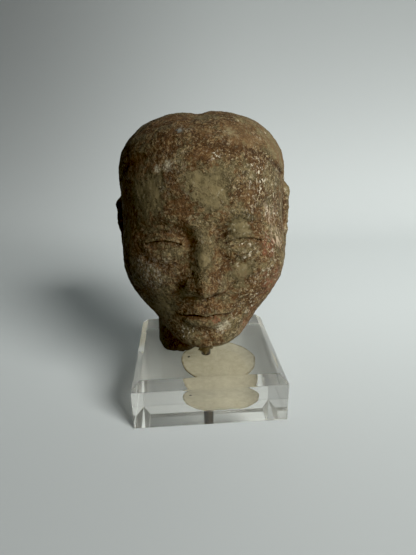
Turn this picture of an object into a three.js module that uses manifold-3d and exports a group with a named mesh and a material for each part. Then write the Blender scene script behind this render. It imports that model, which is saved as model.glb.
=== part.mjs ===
// A broken-off pottery head on a bevelled clear acrylic block, held up by a steel rod, in millimetres.
// +Z is up and the face looks along -Y. The origin is on the surface the block stands on, under its centre.
import * as THREE from "three";
import { ConvexGeometry } from "three/addons/geometries/ConvexGeometry.js";
import { mergeVertices } from "three/addons/utils/BufferGeometryUtils.js";
import Module from "manifold-3d";

const wasm = await Module();
wasm.setup();

// Driving dimensions of the stand
const blockSide = 65;
const blockHeight = 21;
const blockBevel = 3.5;
const rodRadius = 2.25;
const rodLength = 48;
const rodDepthInBlock = 13.5;
const padThickness = 0.2;
const padCentre = new THREE.Vector2(6, 0.4);
const faceGap = 0.1;
const fitGap = 0.3;

// The edge of the adhesive: how far it reaches from its centre at each angle, in degrees from +X to +Y
const padEdge = [
  [0, 17.7],
  [26, 16.2],
  [49, 15.4],
  [105, 16.2],
  [160, 17.7],
  [195, 18],
  [222, 18.5],
  [242, 19.2],
  [262, 17.3],
  [282, 16.9],
  [297, 19.2],
  [327, 18.7],
  [346, 17.8],
  [360, 17.7],
];

// Driving dimensions of the head, in its own frame: x to the viewer's right, y to the back of the head,
// z up from the line of the eyes
const skull = { centre: [0, 6, 9.1], radii: [33.9, 37, 34.2], planPower: 2.15, risePower: 2.85 };
const faceMass = { centre: [0, -4, -13], radii: [29.5, 28, 29.5], planPower: 2.3, risePower: 2.3 };
const cheek = { centre: [16, -14, -10], radii: [15, 15.5, 17], planPower: 2, risePower: 2 };
const chin = { centre: [0, -19.5, -35.5], radii: [15, 13, 10], planPower: 2.1, risePower: 2.1 };
const neck = { halfWidth: 20.8, halfDepth: 19, back: 3, lean: 0.08, leanFrom: -20, top: -10 };
const fracture = { height: -49.3, slopeAcross: 0.3, slopeBack: 0.05 };
const chinHeight = -45;
const earLift = 1.9;
const headPlace = new THREE.Vector3(0, -1, 78.8);
const headTilt = THREE.MathUtils.degToRad(-1.2);
const headTurn = THREE.MathUtils.degToRad(-3.5);

// The hairline: its height at each angle round the head, in degrees from the middle of the face
const hairline = [
  [0, 35.5],
  [14, 35.2],
  [31, 33.4],
  [48, 30],
  [62, 26.8],
  [80, 22],
  [88, 14],
  [96, -4],
  [110, -18],
  [140, -28],
  [180, -31],
];

// The mesh of the head: rays fan out from a line up its middle. Each band of rows gives the height and slope
// of its first and last rays, and each sector of one half its angles. They are closest on the face and ears.
const rayLineBack = 2;
const longestRay = 75;
const halvings = 30;
const bands = [
  { rows: 11, height: [9, 9], slope: [90, 15] },
  { rows: 35, height: [9, -15], slope: [15, -38] },
  { rows: 8, height: [-15, -37], slope: [-38, -46] },
  { rows: 5, height: [-37, -41], slope: [-46, -90] },
];
const sectors = [
  { columns: 15, angle: [0, 45] },
  { columns: 5, angle: [45, 78] },
  { columns: 12, angle: [78, 118] },
  { columns: 6, angle: [118, 180] },
];

const clamp = (value) => Math.min(Math.max(value, 0), 1);
const mix = (from, to, share) => from + (to - from) * share;

// Goes smoothly from 0 at the first value to 1 at the second one.
function ramp(from, to, value) {
  const share = clamp((value - from) / (to - from));
  return share * share * (3 - 2 * share);
}

// A rounded bump, 1 at zero, that fades over about the given width.
const bell = (offset, width) => Math.exp(-((offset / width) ** 2));

// A round dome, 1 in the middle and 0 outside the two half sizes.
const dome = (x, z, halfWidth, halfHeight) => clamp(1 - (x / halfWidth) ** 2 - (z / halfHeight) ** 2);

// The smaller of two distances, with the corner between them filled by a fillet.
function join(a, b, fillet) {
  const share = clamp(0.5 + (0.5 * (b - a)) / fillet);
  return mix(b, a, share) - fillet * share * (1 - share);
}

const trim = (a, b, fillet) => -join(-a, -b, fillet);

// About how far a point is outside a rounded mass. Powers over 2 make the mass squarer than an ellipsoid.
function outside(mass, x, y, z) {
  const across = Math.abs((x - mass.centre[0]) / mass.radii[0]) ** mass.planPower;
  const along = Math.abs((y - mass.centre[1]) / mass.radii[1]) ** mass.planPower;
  const level = (across + along) ** (mass.risePower / mass.planPower);
  const rise = Math.abs((z - mass.centre[2]) / mass.radii[2]) ** mass.risePower;
  return ((level + rise) ** (1 / mass.risePower) - 1) * Math.min(...mass.radii);
}

// About how far a point is outside the neck, which leans to the rod and is broken off on a slant.
function outsideNeck(x, y, z) {
  const middle = neck.lean * Math.min(z - neck.leanFrom, 0);
  const ring = Math.hypot((x - middle) / neck.halfWidth, (y - neck.back) / neck.halfDepth);
  const side = (ring - 1) * neck.halfDepth;
  const broken = fracture.height + fracture.slopeAcross * x + fracture.slopeBack * y - z;
  return trim(side, trim(broken, z - neck.top, 4), 3);
}

function outsideHead(x, y, z) {
  let distance = outside(skull, x, y, z);
  distance = join(distance, outside(faceMass, x, y, z), 9);
  distance = join(distance, outside(cheek, Math.abs(x), y, z), 7);
  distance = join(distance, outside(chin, x, y, z), 7);
  return join(distance, outsideNeck(x, y, z), 6);
}

// The value at an angle in degrees, from a list of angles and values that go straight from one to the next.
function valueAt(list, degrees) {
  const next = Math.max(1, list.findIndex(([at]) => at >= degrees));
  const [fromAngle, fromValue] = list[next - 1];
  const [toAngle, toValue] = list[next];
  return mix(fromValue, toValue, clamp((degrees - fromAngle) / (toAngle - fromAngle)));
}

// The hair stands up from the brow with a soft edge, which ends at the ear, and is parted down the middle.
function hairRelief(x, z, angle) {
  const above = z - valueAt(hairline, THREE.MathUtils.radToDeg(Math.abs(angle)));
  const atEar = bell(Math.abs(angle) - 1.66, 0.26) * ramp(24, 12, z);
  const edge = 0.9 * ramp(-1.4, 1.4, above) - 0.4 * bell(above + 1.4, 1.2);
  const crown = ramp(0, 10, above);
  const parting = 0.15 * bell(Math.abs(x) - 7, 5) - 0.85 * bell(x, 2.2);
  return (edge * (1 - atEar) + 0.8 * ramp(0, 14, above) + crown * parting) * ramp(-48, -36, z);
}

function browRelief(side, z) {
  const socket = -2.8 * bell(side - 14.4, 9.5) * bell(z - 1, 6.5);
  const corner = -2.2 * bell(side - 7.2, 3.8) * bell(z - 3, 5);
  const browHeight = 9.2 - 0.012 * (side - 13) ** 2;
  const brow = 1.5 * bell(z - browHeight, 3.6) * ramp(28, 18, side) * ramp(-2, 7, side);
  return socket + corner + brow + 0.5 * bell(z - 22, 12) * bell(side, 20);
}

function eyeRelief(side, z) {
  const eyeCentre = 14.4;
  const halfLength = 7.2;
  const ball = dome(side - eyeCentre, z - 0.2, 9.4, 6.8);
  const along = Math.abs((side - eyeCentre) / halfLength);
  const arc = clamp(1 - along ** 2);
  const opening = -0.9 * bell(z - 0.2 + 0.9 * arc, 1.1);
  const crease = -0.7 * bell(z - 2.9 - 2 * arc, 1.2);
  return 3.4 * ball + (opening + crease) * ramp(1.3, 0.9, along);
}

function noseRelief(side, z) {
  const down = clamp((7.5 - z) / 22.5);
  const bridge = (1 + 4.8 * down) * ramp(14, 3, z) * ramp(-20.5, -15, z) * bell(side, 3 + 1.4 * down);
  const foot = 1.5 * down * bell(side, 9) * ramp(-22, -15, z) * ramp(8, 2, z);
  const tip = 3 * bell(side, 4.6) * bell(z + 13.8, 4);
  const wing = 2.9 * bell(side - 6.2, 2.6) * bell(z + 15.2, 3.1);
  return bridge + foot + tip + wing;
}

function mouthRelief(side, z) {
  const mound = 2.4 * bell(side, 13) * bell(z + 26.5, 7.5);
  const groove = -0.6 * bell(side, 1.8) * bell(z + 22, 2.2);
  const line = -27.4 + 0.004 * side ** 2;
  const rise = z - line;
  const upperLip = 1.4 * bell(rise - 2, 1.9) * ramp(13, 7, side);
  const lowerLip = 1.7 * bell(rise + 2.6, 2.1) * ramp(12, 6, side);
  const parted = -0.8 * bell(rise, 1.2) * ramp(14, 11, side);
  const corner = -0.8 * bell(side - 12.9, 2) * bell(rise, 2.2);
  return mound + groove + upperLip + lowerLip + parted + corner;
}

function faceRelief(x, z) {
  const side = Math.abs(x);
  const cheekbone = 1.3 * bell(side - 18.5, 8) * bell(z + 10, 8);
  const underLip = -1.5 * bell(side, 9) * bell(z + 34.2, 2.8);
  const chinBall = 1.9 * bell(side, 9.5) * bell(z + 40, 5);
  const features = browRelief(side, z) + eyeRelief(side, z) + noseRelief(side, z) + mouthRelief(side, z);
  return features + cheekbone + underLip + chinBall;
}

// How far the ear stands out of the side of the head, by its place across and up the ear.
function earRelief(y, z) {
  const up = (z + 1.7) / 15.8;
  const halfWidth = 7.4 + 1.9 * up - 1.6 * up ** 2;
  const across = (y - 5.2 - 0.14 * (z + 2)) / halfWidth;
  const reach = Math.hypot(across, up);
  const body = 2.8 * ramp(1.2, 0.78, reach) * (0.8 + 0.2 * across) * (1 - 0.25 * up);
  const rim = bell(reach - 0.78, 0.26) * ramp(-0.9, -0.3, across + up);
  const bowl = -2.6 * bell(across + 0.12, 0.4) * bell(up + 0.1, 0.42);
  const lobe = 0.8 * bell(across, 0.5) * bell(up + 0.8, 0.25);
  return body + rim + bowl + lobe;
}

// The point where a ray from the middle line leaves the head's plain masses.
function hit(origin, direction) {
  let near = 1;
  let far = longestRay;
  for (let step = 0; step < halvings; step++) {
    const middle = (near + far) / 2;
    const point = origin.clone().addScaledVector(direction, middle);
    if (outsideHead(point.x, point.y, point.z) < 0) near = middle;
    else far = middle;
  }
  return origin.clone().addScaledVector(direction, near);
}

// The direction in which the plain surface faces at a point.
function facing(point) {
  const step = 0.05;
  const { x, y, z } = point;
  return new THREE.Vector3(
    outsideHead(x + step, y, z) - outsideHead(x - step, y, z),
    outsideHead(x, y + step, z) - outsideHead(x, y - step, z),
    outsideHead(x, y, z + step) - outsideHead(x, y, z - step),
  ).normalize();
}

// A point of the finished head on the ray that leaves the middle line at this height, slope and angle.
function headPoint(height, slope, angle) {
  const origin = new THREE.Vector3(0, rayLineBack, height);
  const level = Math.cos(slope);
  const direction = new THREE.Vector3(Math.sin(angle) * level, -Math.cos(angle) * level, Math.sin(slope));
  const plain = hit(origin, direction);
  const point = plain.clone().addScaledVector(facing(plain), hairRelief(plain.x, plain.z, angle));
  const side = Math.sign(plain.x);
  const onFace = ramp(-8, -16, plain.y) * ramp(chinHeight - 1, chinHeight + 3, plain.z);
  point.y -= faceRelief(plain.x, plain.z) * onFace;
  point.x += side * earRelief(plain.y, plain.z - side * earLift) * ramp(18, 28, side * plain.x);
  return point;
}

// The values of one key along a list of bands or sectors, from the start of each one on.
function spread(list, count, key) {
  const values = [];
  for (const item of list) {
    for (let step = 0; step < item[count]; step++) values.push(mix(...item[key], step / item[count]));
  }
  return values;
}

function headGeometry() {
  const heights = spread(bands, "rows", "height");
  const slopes = spread(bands, "rows", "slope").map(THREE.MathUtils.degToRad);
  const half = spread(sectors, "columns", "angle");
  const otherHalf = half.slice(1).map((angle) => -angle);
  const angles = [...half, 180, ...otherHalf.reverse()].map(THREE.MathUtils.degToRad);
  const columns = angles.length;
  const positions = [headPoint(heights[0], slopes[0], 0)];
  for (let row = 1; row < heights.length; row++) {
    for (const angle of angles) positions.push(headPoint(heights[row], slopes[row], angle));
  }
  const bottom = positions.length;
  positions.push(headPoint(bands.at(-1).height[1], -Math.PI / 2, 0));
  const triangles = [];
  for (let column = 0; column < columns; column++) {
    const next = (column + 1) % columns;
    triangles.push(0, 1 + column, 1 + next);
    for (let upper = 1; upper < bottom - columns; upper += columns) {
      const [a, b, c, d] = [upper + column, upper + columns + column, upper + columns + next, upper + next];
      if (column < half.length) triangles.push(a, b, d, d, b, c);
      else triangles.push(a, b, c, a, c, d);
    }
    triangles.push(bottom, bottom - columns + next, bottom - columns + column);
  }
  return new THREE.BufferGeometry().setFromPoints(positions).setIndex(triangles);
}

// A manifold solid from a closed geometry.
function solid(geometry) {
  const bare = geometry.clone();
  bare.deleteAttribute("normal");
  bare.deleteAttribute("uv");
  const merged = mergeVertices(bare, 1e-3);
  return new wasm.Manifold(
    new wasm.Mesh({
      numProp: 3,
      vertProperties: merged.attributes.position.array,
      triVerts: new Uint32Array(merged.index.array),
    }),
  );
}

// A geometry from a manifold solid.
function geometryOf(made) {
  const mesh = made.getMesh();
  const geometry = new THREE.BufferGeometry();
  geometry.setAttribute("position", new THREE.BufferAttribute(mesh.vertProperties, 3));
  geometry.setIndex(new THREE.BufferAttribute(mesh.triVerts, 1));
  geometry.computeVertexNormals();
  return geometry;
}

// An upright round bar between two heights, on the Z axis.
function bar(radius, bottom, top) {
  const sides = 32;
  const geometry = new THREE.CylinderGeometry(radius, radius, top - bottom, sides);
  return geometry.rotateX(Math.PI / 2).translate(0, 0, (top + bottom) / 2);
}

const blockBottom = padThickness + faceGap;
const blockTop = blockBottom + blockHeight;
const rodBottom = blockTop - rodDepthInBlock;
const rodTop = rodBottom + rodLength;

// The block: square, with a bevel round its top and a blind hole for the rod.
function blockGeometry() {
  const corners = [];
  for (const [across, back] of [[-1, -1], [1, -1], [1, 1], [-1, 1]]) {
    const half = blockSide / 2;
    const topHalf = half - blockBevel;
    corners.push(new THREE.Vector3(across * half, back * half, blockBottom));
    corners.push(new THREE.Vector3(across * half, back * half, blockTop - blockBevel));
    corners.push(new THREE.Vector3(across * topHalf, back * topHalf, blockTop));
  }
  const hole = bar(rodRadius + fitGap, rodBottom - fitGap, blockTop + 1);
  return geometryOf(solid(new ConvexGeometry(corners)).subtract(solid(hole)));
}

// The patch of dried adhesive under the block: a thin sheet with an uneven edge.
function padGeometry() {
  const steps = 48;
  const points = [];
  for (let step = 0; step < steps; step++) {
    const angle = (2 * Math.PI * step) / steps;
    const radius = valueAt(padEdge, THREE.MathUtils.radToDeg(angle));
    points.push(new THREE.Vector2(radius * Math.cos(angle), radius * Math.sin(angle)).add(padCentre));
  }
  return new THREE.ExtrudeGeometry(new THREE.Shape(points), { depth: padThickness, bevelEnabled: false });
}

const clay = new THREE.MeshStandardMaterial({ color: 0x6b5a4a, roughness: 0.92, metalness: 0 });
const acrylic = new THREE.MeshStandardMaterial({ color: 0xf2f6f5, roughness: 0.04, metalness: 0 });
acrylic.transparent = true;
acrylic.opacity = 0.25;
const steel = new THREE.MeshStandardMaterial({ color: 0x8c857c, roughness: 0.35, metalness: 1 });
const adhesive = new THREE.MeshStandardMaterial({ color: 0xe6e1c8, roughness: 0.6, metalness: 0 });

function addPiece(group, name, geometry, material) {
  const mesh = new THREE.Mesh(geometry, material);
  mesh.name = name;
  group.add(mesh);
  return mesh;
}

// The head, with the upright socket that the rod stands in.
function addHead(group) {
  const place = new THREE.Matrix4().compose(
    headPlace,
    new THREE.Quaternion().setFromEuler(new THREE.Euler(0, headTilt, headTurn, "ZYX")),
    new THREE.Vector3(1, 1, 1),
  );
  const back = place.clone().invert();
  const socket = bar(rodRadius + fitGap, 0, rodTop + fitGap).applyMatrix4(back);
  const drilled = solid(headGeometry()).subtract(solid(socket));
  const head = addPiece(group, "pottery_head", geometryOf(drilled), clay);
  head.applyMatrix4(place);
}

const part = new THREE.Group();
part.name = "pottery_head_on_stand";
addPiece(part, "adhesive_pad", padGeometry(), adhesive);
addPiece(part, "clear_base", blockGeometry(), acrylic);
addPiece(part, "support_rod", bar(rodRadius, rodBottom, rodTop), steel);
addHead(part);

export default part;
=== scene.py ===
"""A weathered pottery head on a bevelled clear block, in a pale sweep lit softly from the right.

Lengths inside the head's own functions are millimetres in the head's own frame: x to the viewer's right,
y to the back of the head, z up from the line of the eyes. Everything placed in the scene is in metres.
"""

import math

import bmesh
import bpy
import numpy as np
from mathutils import Euler, Matrix, Vector, noise


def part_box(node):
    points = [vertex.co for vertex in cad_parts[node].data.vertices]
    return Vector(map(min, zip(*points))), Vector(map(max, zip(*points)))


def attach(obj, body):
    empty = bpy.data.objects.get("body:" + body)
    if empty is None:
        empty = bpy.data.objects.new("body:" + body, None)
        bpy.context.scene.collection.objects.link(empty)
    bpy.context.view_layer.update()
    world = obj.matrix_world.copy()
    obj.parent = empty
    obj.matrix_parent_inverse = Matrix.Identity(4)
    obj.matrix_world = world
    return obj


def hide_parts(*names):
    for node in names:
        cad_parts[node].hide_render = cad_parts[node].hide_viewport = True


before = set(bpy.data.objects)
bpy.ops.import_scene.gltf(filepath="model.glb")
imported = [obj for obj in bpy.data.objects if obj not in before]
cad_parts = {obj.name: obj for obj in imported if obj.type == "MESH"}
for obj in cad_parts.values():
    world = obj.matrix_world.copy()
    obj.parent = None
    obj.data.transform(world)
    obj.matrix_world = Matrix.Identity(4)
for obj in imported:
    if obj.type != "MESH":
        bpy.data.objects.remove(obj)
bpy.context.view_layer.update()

MM = 0.001

# The camera of the photograph: its place in metres, where it looks, and its focal length in pixels
CAMERA_PLACE = Vector((-0.0093, -0.1765, 0.1189))
CAMERA_TURN = math.radians(3.56)
CAMERA_DOWN = math.radians(20.04)
CAMERA_ROLL = math.radians(1.07)
FOCAL_PIXELS = 417
PICTURE_HEIGHT = 555

# The head's main masses, as the frame has them
SKULL = {"centre": (0, 6, 9.1), "radii": (33.9, 37, 34.2), "plan": 2.15, "rise": 2.85}
FACE_MASS = {"centre": (0, -4, -13), "radii": (29.5, 28, 29.5), "plan": 2.3, "rise": 2.3}
CHEEK = {"centre": (16, -14, -10), "radii": (15, 15.5, 17), "plan": 2, "rise": 2}
CHIN = {"centre": (0, -19.5, -35.5), "radii": (15, 13, 10), "plan": 2.1, "rise": 2.1}
NECK = {"half_width": 20.8, "half_depth": 19, "back": 3, "lean": 0.08, "lean_from": -20, "top": -10}
FRACTURE = {"height": -49.3, "across": 0.3, "back": 0.05}
CHIN_HEIGHT = -45
EAR_LIFT = 1.9
HEAD_PLACE = np.array((0, -1, 78.8))
HEAD_TILT = math.radians(-1.2)
HEAD_TURN = math.radians(-3.5)

# The height of the hairline at each angle round the head, in degrees from the middle of the face
HAIRLINE_ANGLES = (0, 14, 31, 48, 62, 80, 88, 96, 110, 140, 180)
HAIRLINE_HEIGHTS = (35.5, 35.2, 33.4, 30, 26.8, 22, 14, -4, -18, -28, -31)

# The adhesive under the block: its centre, and its reach from there at each angle from +X, in degrees
PAD_CENTRE = (6.0, 0.4)
PAD_ANGLES = (0, 26, 49, 105, 160, 195, 222, 242, 262, 282, 297, 327, 346, 360)
PAD_REACHES = (17.7, 16.2, 15.4, 16.2, 17.7, 18, 18.5, 19.2, 17.3, 16.9, 19.2, 18.7, 17.8, 17.7)

# Patches of the clay's surface, each a centre in the part's frame and a radius, in millimetres
OLIVE_PATCHES = (
    ((0, -32, 98), 11), ((-21, -25, 95), 11), ((12, -32, 85), 6), ((-2, -38, 76), 6), ((-17, -29, 54), 7),
    ((12, -35, 70), 6),
)
BROWN_PATCHES = (((0, -28, 111), 8), ((-14, -23, 113), 7), ((-8, -32, 91), 6), ((9, -26, 111), 6))
FLECKED_PATCHES = (
    ((19, -25, 105), 6), ((20, -25, 99), 6), ((23, -23, 94), 5), ((24, -24, 88), 6), ((14, -34, 77), 6),
    ((17, -29, 54), 6), ((-8, -32, 44), 5), ((3, -28, 110), 4),
)
ROSY_PATCHES = (
    ((26, -25, 79), 6), ((25, -24, 88), 6), ((31, -10, 76), 9), ((29, -18, 68), 7), ((37, 2, 84), 9),
)
RED_PATCHES = (((22, -29, 77), 6), ((25, -27, 61), 8), ((14, -25, 41), 7), ((2, -36, 51), 3))
PALE_PATCHES = (((-13, -27, 106), 2.6), ((-17, -26, 105), 1.8), ((5, -34, 47), 4))
HAZY_PATCH = ((-22, -31, 69), 10)
TAN_PATCH = ((9, -22, 117), 3.6)
GREY_PATCH = ((-8.5, -21, 117), 2)
# Where the painted shade on the left side is deepest, in the same form
DEEPEST_PAINTED_SHADE = ((-28, -12, 110), 10)

# The dark dot in the adhesive, in the same form
DARK_DOT = ((-8.3, 2.6, 0.3), 0.8)

# The rows of the head's mesh, by the height and slope of their rays, and the columns of one half, by angle
RAY_LINE_BACK = 2
LONGEST_RAY = 75
HALVINGS = 32
BANDS = (
    {"rows": 56, "height": (9, 9), "slope": (90, 15)},
    {"rows": 190, "height": (9, -15), "slope": (15, -38)},
    {"rows": 38, "height": (-15, -37), "slope": (-38, -46)},
    {"rows": 26, "height": (-37, -41), "slope": (-46, -90)},
)
SECTORS = (
    {"columns": 76, "angle": (0, 45)},
    {"columns": 26, "angle": (45, 78)},
    {"columns": 36, "angle": (78, 118)},
    {"columns": 16, "angle": (118, 180)},
)


def ramp(start, end, value):
    """Goes smoothly from 0 where value is start to 1 where it is end."""
    share = np.clip((value - start) / (end - start), 0, 1)
    return share * share * (3 - 2 * share)


def bell(offset, width):
    """A rounded bump, 1 at zero, that fades over about the given width."""
    return np.exp(-((offset / width) ** 2))


def dome(x, z, half_width, half_height):
    """A round dome, 1 in the middle and 0 outside the two half sizes."""
    return np.clip(1 - (x / half_width) ** 2 - (z / half_height) ** 2, 0, 1)


def join(a, b, fillet):
    """The smaller of two distances, with the corner between them filled."""
    share = np.clip(0.5 + 0.5 * (b - a) / fillet, 0, 1)
    return b + (a - b) * share - fillet * share * (1 - share)


def trim(a, b, fillet):
    """The larger of two distances, with the edge between them rounded."""
    return -join(-a, -b, fillet)


def outside(mass, x, y, z):
    """About how far points are outside a rounded mass. Powers over 2 make it squarer than an ellipsoid."""
    across = np.abs((x - mass["centre"][0]) / mass["radii"][0]) ** mass["plan"]
    along = np.abs((y - mass["centre"][1]) / mass["radii"][1]) ** mass["plan"]
    level = (across + along) ** (mass["rise"] / mass["plan"])
    rise = np.abs((z - mass["centre"][2]) / mass["radii"][2]) ** mass["rise"]
    return ((level + rise) ** (1 / mass["rise"]) - 1) * min(mass["radii"])


def above_fracture(x, y, z):
    """How far points are above the slanted break of the neck."""
    return z - (FRACTURE["height"] + FRACTURE["across"] * x + FRACTURE["back"] * y)


def outside_neck(x, y, z):
    middle = NECK["lean"] * np.minimum(z - NECK["lean_from"], 0)
    ring = np.hypot((x - middle) / NECK["half_width"], (y - NECK["back"]) / NECK["half_depth"])
    side = (ring - 1) * NECK["half_depth"]
    return trim(side, trim(-above_fracture(x, y, z), z - NECK["top"], 4), 3)


def outside_head(x, y, z):
    distance = outside(SKULL, x, y, z)
    distance = join(distance, outside(FACE_MASS, x, y, z), 9)
    distance = join(distance, outside(CHEEK, np.abs(x), y, z), 7)
    distance = join(distance, outside(CHIN, x, y, z), 7)
    return join(distance, outside_neck(x, y, z), 6)


def hairline_height(angle):
    return np.interp(np.degrees(np.abs(angle)), HAIRLINE_ANGLES, HAIRLINE_HEIGHTS)


def hair_relief(x, z, angle):
    """The hair stands up from the brow with a soft edge, ends at the ear and is parted down the middle."""
    above = z - hairline_height(angle)
    at_ear = bell(np.abs(angle) - 1.66, 0.26) * ramp(26, 14, z)
    edge = 0.9 * ramp(-0.9, 0.9, above) - 0.25 * bell(above + 1.2, 0.8)
    crown = ramp(0, 10, above)
    parting = 0.2 * bell(np.abs(x) - 8, 5) - 0.65 * bell(x, 3.2)
    return (edge * (1 - at_ear) + 0.8 * ramp(0, 14, above) + crown * parting) * ramp(-48, -36, z)


def brow_relief(side, z):
    socket = -2.8 * bell(side - 14.4, 9.5) * bell(z - 1, 6.5)
    corner = -2.2 * bell(side - 7.2, 3.8) * bell(z - 3, 5)
    brow_height = 9.2 - 0.012 * (side - 13) ** 2
    brow = 1.5 * bell(z - brow_height, 3.6) * ramp(28, 18, side) * ramp(-2, 7, side)
    return socket + corner + brow + 0.5 * bell(z - 22, 12) * bell(side, 20)


def eye_relief(side, z):
    """A ball under two lids: a narrow almond opening, its rims, and a crease above the upper lid."""
    eye_centre = 14.4
    half_length = 7.2
    ball = dome(side - eye_centre, z - 0.2, 9.6, 7.0)
    along = np.abs((side - eye_centre) / half_length)
    arc = np.clip(1 - along**2, 0, 1)
    upper = 0.2 + 1.8 * arc
    lower = -0.2 - 1.5 * arc
    opening = ramp(-0.1, 0.5, upper - z) * ramp(-0.1, 0.5, z - lower) * ramp(0, 0.1, 1 - along)
    rims = 0.35 * bell(z - upper - 0.8, 0.9) + 0.25 * bell(z - lower + 0.8, 0.8)
    crease = -0.6 * bell(z - upper - 2.3 - 0.5 * arc, 0.8)
    return 3.4 * ball - 0.9 * opening + (rims + crease) * ramp(1.3, 0.9, along)


def nose_relief(side, z):
    down = np.clip((7.5 - z) / 22.5, 0, 1)
    bridge = (1 + 4.8 * down) * ramp(14, 3, z) * ramp(-20, -15.5, z) * bell(side, 3 + 1.4 * down)
    foot = 1.5 * down * bell(side, 9) * ramp(-22, -15, z) * ramp(8, 2, z)
    tip = 3.0 * bell(side, 4.6) * bell(z + 13.8, 4)
    wing = 3.0 * bell(side - 5.9, 2.7) * bell(z + 15.0, 3.1)
    crease = -0.5 * bell(side - 9.8, 1.5) * bell(z + 14.6, 3.6)
    nostril = -0.8 * bell(side - 3.6, 1.6) * bell(z + 19.0, 1.3)
    return bridge + foot + tip + wing + crease + nostril


def mouth_relief(side, z):
    mound = 2.4 * bell(side, 13) * bell(z + 26.5, 7.5)
    groove = -0.45 * bell(side, 1.6) * ramp(-25.4, -23.2, z) * ramp(-18.5, -21, z)
    line = -27.3 + 0.45 * bell(side - 4.2, 3) - 0.3 * bell(side, 1.7) - 0.003 * side**2
    rise = z - line
    upper_height = np.maximum(3.5 * ramp(12.2, 3.2, side) - 0.6 * bell(side, 1.8), 0.5)
    lower_height = np.maximum(4.4 * ramp(11.6, 3.6, side), 0.5)
    upper = 1.5 * np.clip(rise, 0, 1) * ramp(1.5, 0.45, rise / upper_height) * ramp(12.2, 8, side)
    lower = 1.9 * np.clip(-rise / 1.1, 0, 1) * ramp(1.5, 0.35, -rise / lower_height) * ramp(11.6, 6.5, side)
    parted = -0.7 * bell(rise, 0.65) * ramp(12.8, 10, side)
    corner = -0.7 * bell(side - 12.3, 1.9) * bell(rise - 0.1, 2.2)
    return mound + groove + upper + lower + parted + corner


def face_relief(x, z):
    side = np.abs(x)
    cheekbone = 1.3 * bell(side - 18.5, 8) * bell(z + 10, 8)
    under_lip = -1.5 * bell(side, 9) * bell(z + 34.2, 2.8)
    chin_ball = 1.9 * bell(side, 9.5) * bell(z + 40, 5)
    features = brow_relief(side, z) + eye_relief(side, z) + nose_relief(side, z) + mouth_relief(side, z)
    return features + cheekbone + under_lip + chin_ball


def ear_relief(y, z):
    """How far the ear stands out of the side of the head."""
    up = (z + 1.7) / 15.8
    half_width = 7.4 + 1.9 * up - 1.6 * up**2
    across = (y - 5.2 - 0.14 * (z + 2)) / half_width
    reach = np.hypot(across, up)
    inner = ramp(-0.6, -0.2, up)
    body = 2.8 * ramp(1.16, 0.84, reach) * (0.8 + 0.2 * across) * (1 - 0.25 * up)
    rim_opening = 1 - 0.85 * ramp(-0.35, -0.8, across) * ramp(0.45, 0.1, up)
    rim = 1.2 * bell(reach - 0.84, 0.13) * rim_opening * ramp(-0.85, -0.5, up)
    fold = 0.9 * bell(reach - 0.48, 0.15) * ramp(-0.3, 0.2, across) * inner
    furrow = -0.8 * bell(reach - 0.66, 0.09) * ramp(-0.2, 0.3, across) * inner
    bowl = -2.3 * bell(across + 0.18, 0.36) * bell(up + 0.16, 0.34)
    flap = 1.0 * bell(across + 0.62, 0.2) * bell(up + 0.2, 0.17)
    lobe = 0.8 * bell(across + 0.05, 0.5) * bell(up + 0.8, 0.22)
    return body + rim + fold + furrow + bowl + flap + lobe


def spread(bands, count, key):
    """The values of one key along a list of bands, from the start of each one on."""
    runs = [np.linspace(*band[key], band[count], endpoint=False) for band in bands]
    return np.concatenate(runs)


def head_rays():
    """The rows' heights and slopes and the columns' angles, with both ends as points."""
    heights = np.append(spread(BANDS, "rows", "height"), BANDS[-1]["height"][1])
    slopes = np.radians(np.append(spread(BANDS, "rows", "slope"), -90))
    half = spread(SECTORS, "columns", "angle")
    angles = np.radians(np.concatenate([half, [180], -half[:0:-1]]))
    return heights, slopes, angles


def plain_surface(heights, slopes, angles):
    """Where each ray leaves the head's masses, as three grids, and the grid of angles."""
    slope, angle = np.meshgrid(slopes, angles, indexing="ij")
    height = np.repeat(heights[:, None], len(angles), 1)
    along_x = np.sin(angle) * np.cos(slope)
    along_y = -np.cos(angle) * np.cos(slope)
    along_z = np.sin(slope)
    near = np.ones_like(slope)
    far = np.full_like(slope, LONGEST_RAY)
    for _ in range(HALVINGS):
        middle = (near + far) / 2
        points = (along_x * middle, RAY_LINE_BACK + along_y * middle, height + along_z * middle)
        inside = outside_head(*points) < 0
        near = np.where(inside, middle, near)
        far = np.where(inside, far, middle)
    return along_x * near, RAY_LINE_BACK + along_y * near, height + along_z * near, angle


def grid_normals(points):
    """Outward unit normals of a closed ring grid of points."""
    down = np.gradient(points, axis=0)
    around = np.roll(points, -1, 1) - np.roll(points, 1, 1)
    normals = np.cross(down, around)
    normals /= np.maximum(np.linalg.norm(normals, axis=-1, keepdims=True), 1e-9)
    normals[0] = (0, 0, 1)
    normals[-1] = (0, 0, -1)
    return normals


def blurred(grid, passes):
    """The grid smoothed along rows and columns."""
    for _ in range(passes):
        grid = (grid + np.roll(grid, 1, 1) + np.roll(grid, -1, 1)) / 3
        middle = (grid[:-2] + grid[1:-1] + grid[2:]) / 3
        grid = np.concatenate([grid[:1], middle, grid[-1:]])
    return grid


def fractal(points, scale, octaves, offset):
    """Fractal noise, about -1 to 1, with features of the given size in millimetres."""
    flat = points.reshape(-1, 3) / scale + offset
    values = [noise.fractal(Vector(point), 0.9, 2.1, octaves) for point in flat]
    return np.array(values).reshape(points.shape[:-1])


def pits(points, scale, offset):
    """Round hollows, 1 at the middle of each cell of the given size, 0 away from it."""
    flat = points.reshape(-1, 3) / scale + offset
    nearest = [noise.voronoi(Vector(point))[0][0] for point in flat]
    return ramp(0.42, 0.1, np.array(nearest).reshape(points.shape[:-1]))


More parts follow.
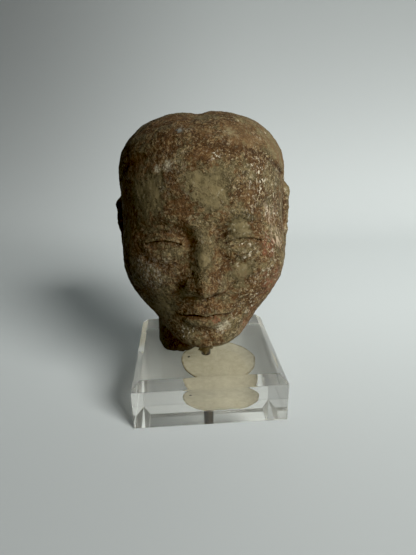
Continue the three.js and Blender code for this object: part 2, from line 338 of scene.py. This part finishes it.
def head_grid():
    """The finished surface of the head as a grid of points, with the masks its material uses."""
    x, y, z, angle = plain_surface(*head_rays())
    plain = np.stack([x, y, z], -1)
    normals = grid_normals(plain)
    points = plain + normals * hair_relief(x, z, angle)[..., None]
    on_face = ramp(-8, -16, y) * ramp(CHIN_HEIGHT - 1, CHIN_HEIGHT + 3, z)
    points[..., 1] -= face_relief(x, z) * on_face
    ear = ear_relief(y, z - EAR_LIFT * np.sign(x)) * ramp(18, 28, np.abs(x))
    points[..., 0] += np.sign(x) * ear

    carved = grid_normals(points)
    broken = ramp(3.5, 0.5, above_fracture(x, y, z))
    lumps = fractal(points, 16, 3, 3.1)
    grit = fractal(points, 3.2, 4, 11.7)
    crust = fractal(points, 1.3, 3, 23.9)
    hollow = pits(points, 3.4, 5.3) * ramp(-0.1, 0.5, fractal(points, 9, 2, 41.0))
    wear = 0.32 * lumps + 0.2 * grit + 0.11 * crust - 0.3 * hollow
    rough = 1.1 * fractal(points, 6, 4, 61.0) + 0.35 * grit
    depth = wear * (1 - broken) + rough * broken
    points = points + carved * depth[..., None]

    cavity = ((blurred(points, 10) - points) * carved).sum(-1)
    above = z - hairline_height(angle)
    # A painted shadow line just under the edge of the hair, on the right
    hair_edge_shadow = bell(above + 0.6, 0.5) * ramp(4, 16, x)
    masks = {"cavity": cavity, "hair": ramp(-0.6, 0.6, above), "hair_edge_shadow": hair_edge_shadow, "broken": broken}
    return points, masks


def to_world(points):
    turn = np.array(Euler((0, HEAD_TILT, HEAD_TURN)).to_matrix())
    return (points @ turn.T + HEAD_PLACE) * MM


def ring_quads(first, rows, columns, closed=False):
    """Quads between rows of vertices, each row a ring, and from the last row to the first if closed."""
    upper = first + np.arange(rows if closed else rows - 1)[:, None] * columns
    lower = first + (upper - first + columns) % (rows * columns)
    column = np.arange(columns)[None, :]
    following = (column + 1) % columns
    quads = np.stack([upper + column, lower + column, lower + following, upper + following], -1)
    return quads.reshape(-1, 4).tolist()


def mesh_of(name, vertices, faces, masks):
    mesh = bpy.data.meshes.new(name)
    mesh.from_pydata(vertices.tolist(), [], faces)
    for mask_name, values in masks.items():
        layer = mesh.attributes.new(mask_name, "FLOAT", "POINT")
        layer.data.foreach_set("value", np.asarray(values, np.float32))
    mesh.shade_smooth()
    return mesh


def grid_mesh(name, points, masks):
    """A closed mesh from a grid whose first and last rows are each one point."""
    rows, columns = points.shape[:2]
    vertices = np.concatenate([points[:1, 0], points[1:-1].reshape(-1, 3), points[-1:, 0]])
    last = len(vertices) - 1
    top = [(0, 1 + c, 1 + (c + 1) % columns) for c in range(columns)]
    bottom = [(last, last - columns + (c + 1) % columns, last - columns + c) for c in range(columns)]
    flat_masks = {key: np.concatenate([m[:1, 0], m[1:-1].ravel(), m[-1:, 0]]) for key, m in masks.items()}
    return mesh_of(name, vertices, top + ring_quads(1, rows - 2, columns) + bottom, flat_masks)


def finished_mesh(shape, name):
    mesh = bpy.data.meshes.new(name)
    shape.to_mesh(mesh)
    shape.free()
    return mesh


def add_cylinder(shape, radius, height):
    """A capped cylinder upright on the middle of the shape."""
    bmesh.ops.create_cone(
        shape, cap_ends=True, segments=64, radius1=radius, radius2=radius, depth=height
    )


def add_object(name, mesh, material):
    made = bpy.data.objects.new(name, mesh)
    bpy.context.scene.collection.objects.link(made)
    if material:
        mesh.materials.append(material)
    return made


class Nodes:
    """A material's node tree, with short calls to add nodes and link them."""

    def __init__(self, name):
        self.material = bpy.data.materials.new(name)
        self.material.use_nodes = True
        self.tree = self.material.node_tree
        self.shader = self.tree.nodes["Principled BSDF"]

    def add(self, kind, inputs=None, **settings):
        node = self.tree.nodes.new(kind)
        for key, value in settings.items():
            setattr(node, key, value)
        for key, value in (inputs or {}).items():
            self.feed(node.inputs[key], value)
        return node

    def feed(self, socket, value):
        if isinstance(value, bpy.types.NodeSocket):
            self.tree.links.new(value, socket)
        else:
            socket.default_value = value

    def shade(self, inputs):
        """Sets inputs of the shader, each to a plain value or to another node's output."""
        for key, value in inputs.items():
            self.feed(self.shader.inputs[key], value)

    def place(self):
        return self.add("ShaderNodeTexCoord").outputs["Object"]

    def axes(self):
        """The three coordinates of the place on the surface, by name, in metres."""
        return self.add("ShaderNodeSeparateXYZ", {"Vector": self.place()}).outputs

    def mask(self, name):
        return self.add("ShaderNodeAttribute", attribute_name=name).outputs["Fac"]

    def noise(self, scale, detail=4, rough=0.6, offset=0.0, swirl=0.0, tall=1.0):
        """Noise of about 0 to 1. Scale is the size of its features in millimetres, swirl bends them into
        curls, and tall draws them out upwards."""
        size = 1 / (scale * MM)
        moved = (offset, offset, offset)
        sizes = (size, size, size / tall)
        mapping = self.add("ShaderNodeMapping", {"Vector": self.place(), "Scale": sizes, "Location": moved})
        inputs = {"Vector": mapping.outputs[0], "Scale": 1.0, "Detail": detail, "Roughness": rough}
        return self.add("ShaderNodeTexNoise", {**inputs, "Distortion": swirl}).outputs["Fac"]

    def spot(self, centre, radius, ragged=0.5, offset=0.0, soft=0.4):
        """1 near a point, given in millimetres, and 0 beyond the radius, with a ragged edge."""
        away = self.add("ShaderNodeVectorMath", operation="DISTANCE")
        self.feed(away.inputs[0], self.place())
        self.feed(away.inputs[1], Vector(centre) * MM)
        share = self.math("DIVIDE", away.outputs["Value"], radius * MM)
        uneven = self.math("SUBTRACT", self.noise(radius / 3, 6, 0.7, offset), 0.5)
        return self.range(self.plus(share, self.times(uneven, 4 * ragged)), 1.0, 1.0 - soft)

    def spots(self, patches, ragged=0.5, soft=0.4):
        """The most of several spots."""
        made = [self.spot(*patch, ragged, 3.7 * number, soft) for number, patch in enumerate(patches)]
        return self.most(*made)

    def math(self, operation, a, b=0.0):
        node = self.add("ShaderNodeMath", operation=operation)
        self.feed(node.inputs[0], a)
        self.feed(node.inputs[1], b)
        return node.outputs[0]

    def chain(self, operation, values):
        """One operation on all the values in turn."""
        result = values[0]
        for value in values[1:]:
            result = self.math(operation, result, value)
        return result

    def times(self, *values):
        return self.chain("MULTIPLY", values)

    def plus(self, *values):
        return self.chain("ADD", values)

    def most(self, *values):
        return self.chain("MAXIMUM", values)

    def line(self, pattern, level, width, depth, core=0.0):
        """A thin line where a pattern crosses a level: depth along its core and 0 beyond its width."""
        away = self.math("ABSOLUTE", self.math("SUBTRACT", pattern, level))
        return self.range(away, width, core, 0, depth)

    def range(self, value, start, end, low=0.0, high=1.0):
        """Maps start..end to low..high, smoothly and no further."""
        inputs = {"Value": value, "From Min": start, "From Max": end, "To Min": low, "To Max": high}
        return self.add("ShaderNodeMapRange", inputs, interpolation_type="SMOOTHSTEP").outputs[0]

    def mix(self, share, a, b):
        node = self.add("ShaderNodeMix", data_type="RGBA")
        self.feed(node.inputs["Factor"], share)
        self.feed(node.inputs["A"], a)
        self.feed(node.inputs["B"], b)
        return node.outputs["Result"]

    def bump(self, height, distance, strength=1.0, normal=None):
        inputs = {"Height": height, "Distance": distance * MM, "Strength": strength}
        if normal:
            inputs["Normal"] = normal
        return self.add("ShaderNodeBump", inputs).outputs[0]


def colour(red, green, blue):
    """A colour given as it looks on screen, from 0 to 255, as the linear values that a shader takes."""
    shares = [value / 255 for value in (red, green, blue)]
    return (*[s / 12.92 if s <= 0.04045 else ((s + 0.055) / 1.055) ** 2.4 for s in shares], 1)


# The clay's colours
DARK_SLIP = colour(86, 77, 52)
PALE_SLIP = colour(126, 113, 80)
DARK_EARTH = colour(60, 42, 22)
PALE_EARTH = colour(116, 85, 52)
HAIR_EARTH = colour(110, 90, 62)
CRUST = colour(150, 130, 92)
CRUST_EDGE = colour(36, 25, 14)
CRACK = colour(40, 26, 14)
GRAIN = colour(32, 22, 12)
SPECK = colour(186, 172, 138)
RED_PAINT = colour(128, 80, 58)
ROSY_PAINT = colour(186, 166, 140)
HAZE = colour(176, 168, 148)
PALE_SMUDGE = colour(180, 172, 146)
TAN_SMUDGE = colour(146, 136, 102)
GREY_SMUDGE = colour(128, 140, 138)
FLECK = colour(210, 200, 175)
HOLLOW = colour(28, 19, 10)
# Painted shadow under the edge of the hair
PAINTED_SHADOW_LINE = colour(40, 28, 16)
# Painted shade over the left side of the head
PAINTED_LEFT_SHADE = colour(18, 13, 8)
DARK_BREAK = colour(12, 9, 7)
PALE_BREAK = colour(88, 74, 56)

# The colours of the steel, the adhesive and the paper
DARK_STEEL = colour(28, 22, 9)
PALE_STEEL = colour(88, 73, 38)
DARK_CREAM = colour(198, 191, 160)
PALE_CREAM = colour(212, 206, 178)
CREAM_SPECK = colour(140, 124, 84)
CREAM_RIM = colour(128, 114, 72)
DOT = colour(34, 30, 24)
DARK_GLUE = colour(42, 31, 16)
PALE_GLUE = colour(112, 97, 62)
PAPER = colour(233, 240, 239)


def slip_and_earth(n, olive, side_hair):
    """Grey-olive slip under brown earth, which covers less of it on the olive patches."""
    slip = n.mix(n.noise(5, 5, offset=1.3), DARK_SLIP, PALE_SLIP)
    earth = n.mix(n.noise(4, 5, 0.65, offset=4.1), DARK_EARTH, PALE_EARTH)
    earth = n.mix(n.times(side_hair, 0.6), earth, HAIR_EARTH)
    cover = n.plus(
        n.times(n.noise(9, offset=7.7), 0.55),
        n.times(n.noise(2.6, 6, 0.75, offset=2.2, swirl=0.8), 0.45),
        n.times(n.mask("cavity"), 0.15),
        n.times(n.spots(BROWN_PATCHES, ragged=0.6, soft=0.8), 0.14),
        n.times(n.mask("hair"), 0.03),
        n.times(olive, -0.15),
    )
    return n.mix(n.range(cover, 0.43, 0.54), slip, earth)


def with_crust(n, base, crusty, right, curls, small_curls, grains):
    """Curls of crust with dark edges, thin cracks, dark grains and pale specks."""
    base = n.mix(n.times(n.range(curls, 0.52, 0.62, 0, 0.55), crusty), base, CRUST)
    base = n.mix(n.times(n.line(curls, 0.48, 0.035, 0.9), crusty), base, CRUST_EDGE)
    base = n.mix(n.times(n.line(small_curls, 0.48, 0.042, 0.75), crusty), base, CRUST_EDGE)
    crack = n.line(n.noise(5, 6, 0.68, offset=37.0, swirl=1.2), 0.5, 0.022, 0.75, core=0.004)
    cracked = n.range(n.noise(6, 3, 0.5, offset=29.0), 0.42, 0.55)
    base = n.mix(n.times(crack, cracked), base, CRACK)
    base = n.mix(n.times(n.range(grains, 0.56, 0.64, 0, 0.5), crusty), base, GRAIN)
    speck = n.range(n.noise(1.1, 5, 0.68, offset=15.0, swirl=0.3), 0.555, 0.63, 0, 0.75)
    return n.mix(n.times(speck, n.range(right, 0, 1, 0.4, 0.95), crusty), base, SPECK)


def with_paint(n, base, right, low):
    """Traces of red and rosy paint, a pale haze and small smudges."""
    red = n.times(n.range(n.noise(7, 3, offset=33.0), 0.5, 0.62, 0, 0.5), right, low)
    red = n.most(red, n.spots(RED_PATCHES, ragged=0.7, soft=0.8))
    red = n.times(red, n.range(n.noise(1.8, 5, 0.7, offset=35.0, swirl=1.0), 0.44, 0.6, 0, 0.7))
    base = n.mix(red, base, RED_PAINT)
    haze = n.range(n.noise(0.7, 4, 0.7, offset=52.0, swirl=0.8, tall=1.8), 0.5, 0.6, 0, 0.7)
    haze = n.times(haze, n.spot(*HAZY_PATCH, ragged=0.6, offset=6.0, soft=0.8))
    base = n.mix(haze, base, HAZE)
    rosy = n.range(n.noise(1.7, 4, 0.65, offset=81.0, swirl=0.4, tall=3.0), 0.47, 0.6, 0, 0.75)
    base = n.mix(n.times(rosy, n.spots(ROSY_PATCHES, ragged=0.5, soft=0.8)), base, ROSY_PAINT)
    smudged = n.range(n.noise(1.2, offset=91.0), 0.35, 0.55, 0.2, 0.8)
    base = n.mix(n.times(n.spots(PALE_PATCHES, ragged=0.6, soft=0.8), smudged), base, PALE_SMUDGE)
    tan = n.times(n.spot(*TAN_PATCH, ragged=0.7, offset=6.0, soft=0.9), 0.5)
    base = n.mix(tan, base, TAN_SMUDGE)
    grey = n.times(n.spot(*GREY_PATCH, ragged=0.8, offset=4.0, soft=0.8), 0.55)
    return n.mix(grey, base, GREY_SMUDGE)


def with_flecks(n, base, right):
    """Bright flecks, in patches and thinly over the right side."""
    strewn = n.range(n.noise(8, 3, 0.5, offset=21.0), 0.48, 0.62)
    where = n.times(strewn, n.range(right, 0, 1, 0.15, 0.6))
    where = n.most(where, n.spots(FLECKED_PATCHES, ragged=0.7, soft=0.9))
    fleck = n.range(n.noise(1.1, 4, 0.55, offset=27.0, swirl=0.5, tall=1.4), 0.555, 0.62)
    gathered = n.range(n.noise(3, 3, offset=47.0), 0.42, 0.6, 0.1, 1.0)
    return n.mix(n.times(fleck, gathered, where), base, FLECK)


def with_dark_and_painted_shade(n, base, left, low):
    """Darker hollows, a painted shadow line under the edge of the hair, and painted shade over the left
    side.
    """
    base = n.mix(n.range(n.mask("cavity"), 0.08, 0.5, 0, 0.6), base, HOLLOW)
    # Painted shadow: a dark line just under the edge of the hair
    hair_edge_shadow = n.times(n.mask("hair_edge_shadow"), n.range(n.noise(2, offset=12.0), 0.4, 0.55, 0.05, 0.5))
    base = n.mix(hair_edge_shadow, base, PAINTED_SHADOW_LINE)
    # Painted shade: the left side darkened by place, more so low down, and most in one patch high on the
    # left
    film = n.times(left, n.plus(n.times(low, 0.25), 0.36))
    film = n.most(film, n.times(n.spot(*DEEPEST_PAINTED_SHADE, ragged=0.4, offset=14.0, soft=0.9), 0.55))
    return n.mix(film, base, PAINTED_LEFT_SHADE)


def clay_material():
    """Grey-olive fired clay under brown earth, with curls of crust, pale flecks, traces of pink, painted
    shade over the left side and a painted shadow line under the edge of the hair.
    """
    n = Nodes("weathered_clay")
    place = n.axes()
    right = n.range(place["X"], -0.01, 0.03)
    # How far a point lies on the left side, which painted shade darkens
    left = n.range(place["X"], 0.003, -0.03)
    low = n.range(place["Z"], 0.092, 0.062)
    olive = n.spots(OLIVE_PATCHES, ragged=0.6, soft=0.7)
    side_hair = n.times(n.mask("hair"), right, n.range(n.noise(12, offset=18.0), 0.3, 0.5))
    calm = n.most(n.times(olive, 0.95), n.times(side_hair, 0.8))
    crusty = n.times(n.range(n.noise(7, offset=60.0), 0.35, 0.6, 0.5, 1.0), n.range(calm, 0, 1, 1.0, 0.2))
    curls = n.noise(2.2, 5, offset=3.0, swirl=1.4)
    small_curls = n.noise(1.1, offset=73.0, swirl=1.2)
    grains = n.noise(0.7, 3, offset=9.9, swirl=0.6)

    base = slip_and_earth(n, olive, side_hair)
    base = with_crust(n, base, crusty, right, curls, small_curls, grains)
    base = with_paint(n, base, right, low)
    base = with_flecks(n, base, right)
    base = with_dark_and_painted_shade(n, base, left, low)
    broken = n.mix(n.noise(2, 5, 0.7, offset=44.0), DARK_BREAK, PALE_BREAK)
    base = n.mix(n.mask("broken"), base, broken)

    rough = n.range(n.noise(3, 3, 0.5, offset=50.0), 0.3, 0.7, 0.75, 0.95)
    relief = n.plus(n.times(curls, 0.6), n.times(small_curls, 0.3), n.times(grains, 0.15))
    fine = n.bump(n.noise(0.45, 4, 0.7, offset=55.0), 0.22, 0.8)
    coarse = n.bump(n.times(relief, crusty), 1.8, 0.9, fine)
    n.shade({"Base Color": base, "Roughness": rough, "Normal": coarse, "Specular IOR Level": 0.25})
    return n.material


def acrylic_material():
    n = Nodes("clear_acrylic")
    clear = colour(255, 253, 247)
    n.shade({"Base Color": clear, "Roughness": 0.0, "IOR": 1.49, "Transmission Weight": 0.97})
    return n.material


def steel_material():
    n = Nodes("dull_steel")
    tone = n.mix(n.range(n.noise(1.0, 5, 0.75, offset=3.0), 0.38, 0.62), DARK_STEEL, PALE_STEEL)
    rough = n.range(n.noise(0.8, offset=6.0), 0.3, 0.7, 0.28, 0.45)
    n.shade({"Base Color": tone, "Roughness": rough, "Metallic": 1.0})
    return n.material


def adhesive_material():
    """Cream film, mottled and specked, with a brown line at its edge and a dark dot, and brown crust."""
    n = Nodes("dried_adhesive")
    cream = n.mix(n.range(n.noise(3.5, 5, 0.65, offset=2.0), 0.35, 0.65), DARK_CREAM, PALE_CREAM)
    specked = n.range(n.noise(6, 2, 0.5, offset=9.0), 0.4, 0.6)
    speck = n.times(n.range(n.noise(0.5, 2, 0.5, offset=7.0), 0.62, 0.7), specked, 0.5)
    rim = n.times(n.mask("rim"), n.range(n.noise(3, 3, 0.5, offset=4.0), 0.35, 0.6, 0.3, 0.9))
    tone = n.mix(rim, n.mix(speck, cream, CREAM_SPECK), CREAM_RIM)
    tone = n.mix(n.spot(*DARK_DOT, ragged=0.0), tone, DOT)
    crust = n.mix(n.range(n.noise(0.9, 4, 0.7, offset=6.0), 0.35, 0.6), DARK_GLUE, PALE_GLUE)
    n.shade({"Base Color": n.mix(n.mask("crust"), tone, crust), "Roughness": 0.6})
    return n.material


def make_head():
    points, masks = head_grid()
    mesh = grid_mesh("pottery_head_surface", to_world(points), masks)
    head = add_object("weathered_head", mesh, clay_material())
    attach(head, "root")
    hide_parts("pottery_head")


def apply_modifiers(made):
    graph = bpy.context.evaluated_depsgraph_get()
    mesh = bpy.data.meshes.new_from_object(made.evaluated_get(graph))
    made.modifiers.clear()
    made.data = mesh


def make_block():
    """The block with fine rounded edges. The rod fills its blind hole, which is cut a little narrower."""
    low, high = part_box("clear_base")
    rod_low, rod_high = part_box("support_rod")
    half = high.x
    bevel = 3.5 * MM
    edge_round = 0.25 * MM
    end_gap = 0.02 * MM
    rod_radius = (rod_high.x - rod_low.x) / 2
    hole_radius = rod_radius * 0.985
    depth = high.z - rod_low.z
    shape = bmesh.new()
    for across in (-1, 1):
        for back in (-1, 1):
            shape.verts.new((across * half, back * half, low.z))
            shape.verts.new((across * half, back * half, high.z - bevel))
            shape.verts.new((across * (half - bevel), back * (half - bevel), high.z))
    bmesh.ops.convex_hull(shape, input=shape.verts)
    bmesh.ops.dissolve_limit(shape, angle_limit=0.01, verts=shape.verts, edges=shape.edges)
    bmesh.ops.bevel(shape, geom=shape.edges[:], offset=edge_round, segments=3, affect="EDGES", profile=0.5)
    block = add_object("acrylic_block", finished_mesh(shape, "block_surface"), acrylic_material())

    hole = bmesh.new()
    add_cylinder(hole, hole_radius, 2 * depth)
    cutter = add_object("hole_cutter", finished_mesh(hole, "hole_cutter"), None)
    cutter.location = (0, 0, rod_low.z + depth + end_gap)
    cut = block.modifiers.new("hole", "BOOLEAN")
    cut.object = cutter
    cut.solver = "EXACT"
    bpy.context.view_layer.update()
    apply_modifiers(block)
    bpy.data.objects.remove(cutter)
    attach(block, "root")
    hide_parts("clear_base")


def make_rod():
    """The rod, with a small chamfer at each end."""
    low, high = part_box("support_rod")
    radius = (high.x - low.x) / 2
    chamfer = 0.2 * MM
    shape = bmesh.new()
    add_cylinder(shape, radius, high.z - low.z)
    rims = [e for e in shape.edges if abs(e.verts[0].co.z - e.verts[1].co.z) < 1e-6]
    bmesh.ops.bevel(shape, geom=rims, offset=chamfer, segments=2, affect="EDGES", profile=0.5)
    bmesh.ops.translate(shape, verts=shape.verts, vec=(0, 0, (high.z + low.z) / 2))
    mesh = finished_mesh(shape, "rod_surface")
    mesh.shade_smooth()
    mesh.set_sharp_from_angle(angle=math.radians(35))
    rod = add_object("steel_rod", mesh, steel_material())
    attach(rod, "root")
    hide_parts("support_rod")


def film_mesh():
    """The film of adhesive under the block, in contact with it, with an uneven edge."""
    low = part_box("adhesive_pad")[0].z
    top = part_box("clear_base")[0].z + 0.02 * MM
    angle = np.radians(np.arange(180) * 2)
    uneven = [noise.fractal(Vector((3 * math.cos(a), 3 * math.sin(a), 0.5)), 0.9, 2.0, 3) for a in angle]
    reach = np.interp(np.degrees(angle), PAD_ANGLES, PAD_REACHES) + 0.25 * np.array(uneven)
    shares = np.array((0, 0.3, 0.6, 0.8, 0.9, 0.95, 0.975, 1.0))
    outward = np.concatenate([shares, shares[::-1]])[:, None]
    x = (PAD_CENTRE[0] + outward * reach * np.cos(angle)) * MM
    y = (PAD_CENTRE[1] + outward * reach * np.sin(angle)) * MM
    level = np.broadcast_to(np.repeat([top, low], len(shares))[:, None], x.shape)
    rim = np.broadcast_to(ramp(0.955, 0.985, outward), x.shape)
    return grid_mesh("film_surface", np.stack([x, y, level], -1), {"rim": rim, "crust": np.zeros_like(x)})


def crust_mesh():
    """A ragged sleeve of glue and earth round the rod, with a crumb of it forward on the block."""
    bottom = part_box("clear_base")[1].z + 0.05 * MM
    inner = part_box("support_rod")[1].x + 0.03 * MM
    sleeve_height = 6.2 * MM
    crumb_turn = math.radians(262)
    angle = np.radians(np.arange(120) * 3)
    rise = np.linspace(1, 0, 20)[:, None] ** 1.6
    grid = (len(rise), len(angle))
    x = np.broadcast_to(np.cos(angle), grid)
    y = np.broadcast_to(np.sin(angle), grid)
    height = np.broadcast_to(bottom + sleeve_height * rise, grid)
    lumps = fractal(np.stack([x * 2, y * 2, height / MM], -1), 1.6, 4, 8.0)
    ragged = 1 + 0.9 * fractal(np.stack([x * 9, y * 9, 0 * x], -1), 2.4, 3, 17.0)
    sleeve = 0.7 + 2.0 * ramp(0, 0.7, rise) + 0.9 * lumps
    crumb = (1.5 + 5.5 * bell(angle - crumb_turn, 0.5)) * ragged * ramp(0.16, 0, rise)
    outer = inner + (sleeve + crumb).clip(0.1) * MM
    outside_points = np.stack([x * outer, y * outer, height], -1)
    inside_points = np.stack([x * inner, y * inner, height], -1)[::-1]
    points = np.concatenate([outside_points, inside_points])
    rows, columns = points.shape[:2]
    vertices = points.reshape(-1, 3)
    masks = {"rim": np.zeros(len(vertices)), "crust": np.ones(len(vertices))}
    return mesh_of("crust_surface", vertices, ring_quads(0, rows, columns, closed=True), masks)


def make_adhesive():
    shape = bmesh.new()
    shape.from_mesh(film_mesh())
    shape.from_mesh(crust_mesh())
    mesh = finished_mesh(shape, "adhesive_surface")
    mesh.set_sharp_from_angle(angle=math.radians(50))
    adhesive = add_object("adhesive_film", mesh, adhesive_material())
    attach(adhesive, "root")
    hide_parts("adhesive_pad")


def make_camera():
    """The photograph's camera: a little left of the middle, looking down at the head."""
    level = math.cos(CAMERA_DOWN)
    forward = Vector((math.sin(CAMERA_TURN) * level, math.cos(CAMERA_TURN) * level, -math.sin(CAMERA_DOWN)))
    flat_right = forward.cross(Vector((0, 0, 1))).normalized()
    flat_up = flat_right.cross(forward)
    right = math.cos(CAMERA_ROLL) * flat_right - math.sin(CAMERA_ROLL) * flat_up
    up = math.sin(CAMERA_ROLL) * flat_right + math.cos(CAMERA_ROLL) * flat_up
    data = bpy.data.cameras.new("photo_camera")
    data.sensor_width = 36
    data.lens = data.sensor_width * FOCAL_PIXELS / PICTURE_HEIGHT
    data.clip_start = 0.01
    camera = bpy.data.objects.new("photo_camera", data)
    axes = Matrix((right, up, -forward)).transposed()
    camera.matrix_world = Matrix.Translation(CAMERA_PLACE) @ axes.to_4x4()
    bpy.context.scene.collection.objects.link(camera)
    bpy.context.scene.camera = camera


def make_sweep():
    """Pale paper: a flat floor that curves up into a wall behind, with light and shade painted into its
    colour.
    """
    half_width = 1.6
    front = -1.4
    curve_start = 0.24
    curve_radius = 0.4
    curve_steps = 24
    wall_top = 1.6
    profile = [(front, 0.0), (curve_start, 0.0)]
    for step in range(1, curve_steps + 1):
        angle = math.pi / 2 * step / curve_steps
        profile.append((curve_start + curve_radius * math.sin(angle), curve_radius * (1 - math.cos(angle))))
    profile.append((curve_start + curve_radius, wall_top))
    vertices = [(side, y, z) for y, z in profile for side in (-half_width, half_width)]
    faces = [(2 * k, 2 * k + 1, 2 * k + 3, 2 * k + 2) for k in range(len(profile) - 1)]
    mesh = bpy.data.meshes.new("sweep")
    mesh.from_pydata(vertices, [], faces)
    mesh.shade_smooth()
    n = Nodes("paper_with_painted_light")
    place = n.axes()
    # Painted light and shade: darker to the left and towards the front, fading up the wall, and lighter
    # again high up
    across = n.range(place["X"], -0.36, 0.14, 0.53, 1.0)
    near = n.range(place["Y"], -0.13, 0.1, 0.68, 1.0)
    painted_falloff = 0.24
    high = n.math("DIVIDE", painted_falloff, n.plus(place["Z"], painted_falloff))
    high = n.plus(high, n.range(place["Z"], 0.33, 0.5, 0, 0.25))
    shade = n.times(across, near, high)
    n.shade({"Base Color": n.mix(shade, colour(0, 0, 0), PAPER), "Roughness": 0.8})
    sweep = add_object("sweep", mesh, n.material)


def add_light(name, place, target, size, power, tint):
    data = bpy.data.lights.new(name, "AREA")
    data.shape = "DISK"
    data.size = size
    data.energy = power
    data.color = tint
    light = bpy.data.objects.new(name, data)
    light.location = place
    light.rotation_euler = (Vector(target) - Vector(place)).to_track_quat("-Z", "Y").to_euler()
    light.visible_camera = False
    bpy.context.scene.collection.objects.link(light)


def make_light():
    """One broad soft light at the front on the right, and a room that is dark on the left."""
    target = Vector((0, 0, 0.06))
    turn = math.radians(38)
    rise = math.radians(29)
    distance = 1.9
    away = Vector((math.sin(turn) * math.cos(rise), -math.cos(turn) * math.cos(rise), math.sin(rise)))
    window = target + away * distance
    add_light("window", window, target, size=0.95, power=46.5, tint=(1.0, 0.99, 0.97))
    world = bpy.data.worlds.new("room")
    world.use_nodes = True
    tree = world.node_tree
    direction = tree.nodes.new("ShaderNodeTexCoord").outputs["Generated"]
    dot = tree.nodes.new("ShaderNodeVectorMath")
    dot.operation = "DOT_PRODUCT"
    dot.inputs[1].default_value = Vector((0.75, 0.2, 0.63)).normalized()
    tree.links.new(direction, dot.inputs[0])
    fade = tree.nodes.new("ShaderNodeMapRange")
    fade.inputs["From Min"].default_value = -0.33
    fade.inputs["From Max"].default_value = 1.0
    fade.inputs["To Min"].default_value = 0.0
    fade.inputs["To Max"].default_value = 0.2
    tree.links.new(dot.outputs["Value"], fade.inputs["Value"])
    background = tree.nodes["Background"]
    background.inputs["Color"].default_value = (0.95, 0.99, 1.0, 1)
    tree.links.new(fade.outputs[0], background.inputs["Strength"])
    bpy.context.scene.world = world


def set_picture():
    scene = bpy.context.scene
    scene.view_settings.view_transform = "Standard"
    scene.view_settings.use_curve_mapping = True
    scene.view_settings.curve_mapping.black_level = (0.008, 0.008, 0.008)
    scene.view_settings.curve_mapping.update()
    scene.cycles.max_bounces = 24
    scene.cycles.transmission_bounces = 24
    scene.cycles.glossy_bounces = 12


make_camera()
make_head()
make_block()
make_rod()
make_adhesive()
make_sweep()
make_light()
set_picture()
